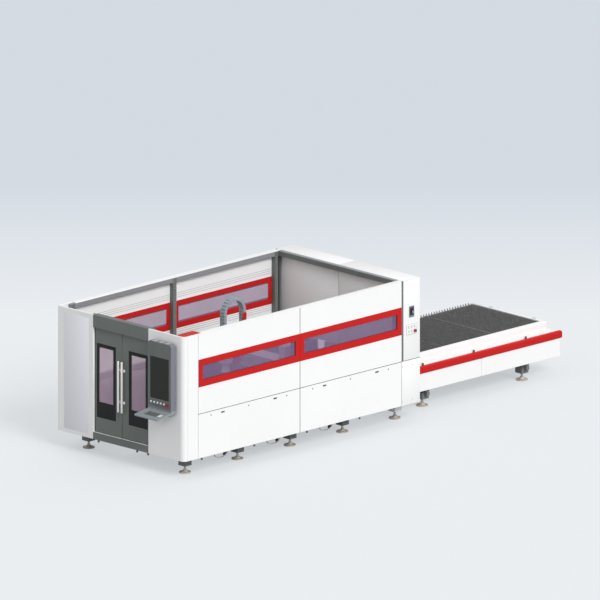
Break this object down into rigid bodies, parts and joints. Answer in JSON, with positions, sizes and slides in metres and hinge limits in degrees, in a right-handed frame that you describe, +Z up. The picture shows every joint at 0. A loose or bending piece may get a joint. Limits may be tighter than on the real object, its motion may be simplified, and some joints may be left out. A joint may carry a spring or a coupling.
{
  "type": "fiber laser cutting machine",
  "caption": "Enclosed fiber laser cutting machine for sheet metal, with double doors, console, gantry and head, exchange table with slat pallets, and scrap drawers.",
  "frame": {"origin": "middle of the machine's footprint, on the floor", "axes": "+X from the door end to the exchange table, +Y from the operator's side to the far side, +Z up"},
  "size_m": [8.72, 2.6972, 2.19],
  "materials": {
    "white_paint": "smooth powder coat",
    "pale_grey_paint": "smooth powder coat",
    "dark_grey_paint": "satin powder coat",
    "red_paint": "smooth powder coat",
    "console_paint": "satin",
    "black_gloss": "gloss",
    "tinted_glass": "gloss, laser-safe tint",
    "bright_steel": "ground",
    "slat_steel": "dull, as cut",
    "red_plastic": "smooth",
    "chain_plastic": "satin"
  },
  "bodies": {
    "machine": {"frame_near": "dark_grey_paint", "frame_far": "dark_grey_paint", "top_cross_beam": "dark_grey_paint", "front_cover_near": "white_paint", "front_cover_far": "white_paint", "corner_cap_near": "red_paint", "lower_panel_near_1": "white_paint", "lower_panel_near_2": "white_paint", "lower_panel_far_1": "white_paint", "lower_panel_far_2": "white_paint", "upper_panel_near_1": "white_paint", "upper_panel_near_2": "white_paint", "upper_panel_far_1": "white_paint", "upper_panel_far_2": "white_paint", "window_frame_near_1": "red_paint", "window_frame_near_2": "red_paint", "window_frame_far_1": "red_paint", "window_frame_far_2": "red_paint", "pane_near_1": "tinted_glass", "pane_near_2": "tinted_glass", "pane_far_1": "tinted_glass", "pane_far_2": "tinted_glass", "door_frame": "dark_grey_paint", "console_housing": "console_paint", "console_screen": "black_gloss", "machine_bed": "dark_grey_paint", "rail_near": "bright_steel", "rail_far": "bright_steel", "portal_base": "white_paint", "portal_housing": "white_paint", "switch_plate": "console_paint", "control_plate": "white_paint", "table_frame": "dark_grey_paint", "table_cover_near": "white_paint", "table_cover_far": "white_paint", "bumper_near": "red_paint", "bumper_far": "red_paint"},
    "near_leaf": {"door_near": "dark_grey_paint", "door_window_near": "black_gloss", "door_handle_near": "bright_steel"},
    "far_leaf": {"door_far": "dark_grey_paint", "door_window_far": "black_gloss", "door_handle_far": "bright_steel"},
    "gantry": {"gantry_beam": "pale_grey_paint", "carriage_near": "dark_grey_paint", "carriage_far": "dark_grey_paint", "chain_tray": "red_paint"},
    "cross_slide": {"cross_carriage": "red_paint", "chain_arch": "chain_plastic"},
    "head": {"cutting_head": "white_paint"},
    "lift": {"exchange_lift": "bright_steel"},
    "upper_pallet": {"pallet_upper": "slat_steel"},
    "lower_pallet": {"pallet_lower": "slat_steel"},
    "gate": {"exchange_gate": "bright_steel"},
    "drawer_1": {"scrap_drawer_1": "white_paint"},
    "drawer_2": {"scrap_drawer_2": "white_paint"},
    "drawer_3": {"scrap_drawer_3": "white_paint"},
    "console_stop_button": {"console_stop": "red_plastic"},
    "portal_stop_button": {"portal_stop": "red_plastic"},
    "switch_knob": {"main_switch": "black_gloss"}
  },
  "joints": [
    {"name": "near_leaf_swing", "type": "hinge", "parent": "machine", "child": "near_leaf", "pos_m": [-3.885, -0.54135, 1.2], "axis": [0, 0, 1], "range_deg": [0, 90]},
    {"name": "far_leaf_swing", "type": "hinge", "parent": "machine", "child": "far_leaf", "pos_m": [-3.885, 0.57265, 1.2], "axis": [0, 0, -1], "range_deg": [0, 90]},
    {"name": "gantry_travel", "type": "slide", "parent": "machine", "child": "gantry", "axis": [1, 0, 0], "range_m": [-1.62, 1.38]},
    {"name": "cross_travel", "type": "slide", "parent": "gantry", "child": "cross_slide", "axis": [0, 1, 0], "range_m": [-0.8, 0.7]},
    {"name": "head_travel", "type": "slide", "parent": "cross_slide", "child": "head", "axis": [0, 0, 1], "range_m": [-0.14, 0]},
    {"name": "lift_travel", "type": "slide", "parent": "machine", "child": "lift", "axis": [0, 0, 1], "range_m": [0, 0.21]},
    {"name": "upper_pallet_travel", "type": "slide", "parent": "lift", "child": "upper_pallet", "axis": [1, 0, 0], "range_m": [-4.5, 0]},
    {"name": "lower_pallet_travel", "type": "slide", "parent": "lift", "child": "lower_pallet", "axis": [1, 0, 0], "range_m": [-4.5, 0]},
    {"name": "gate_travel", "type": "slide", "parent": "machine", "child": "gate", "axis": [0, 0, 1], "range_m": [-0.515, 0]},
    {"name": "drawer_1_travel", "type": "slide", "parent": "machine", "child": "drawer_1", "axis": [0, -1, 0], "range_m": [0, 1.1]},
    {"name": "drawer_2_travel", "type": "slide", "parent": "machine", "child": "drawer_2", "axis": [0, -1, 0], "range_m": [0, 1.1]},
    {"name": "drawer_3_travel", "type": "slide", "parent": "machine", "child": "drawer_3", "axis": [0, -1, 0], "range_m": [0, 1.1]},
    {"name": "console_stop_press", "type": "slide", "parent": "machine", "child": "console_stop_button", "axis": [1, 0, 0], "range_m": [0, 0.005], "stiffness_N_per_m": 800},
    {"name": "portal_stop_press", "type": "slide", "parent": "machine", "child": "portal_stop_button", "axis": [0, 1, 0], "range_m": [0, 0.005], "stiffness_N_per_m": 800},
    {"name": "switch_turn", "type": "hinge", "parent": "machine", "child": "switch_knob", "pos_m": [0.83, -1.32295, 1.695], "axis": [0, 1, 0], "range_deg": [0, 90]}
  ]
}
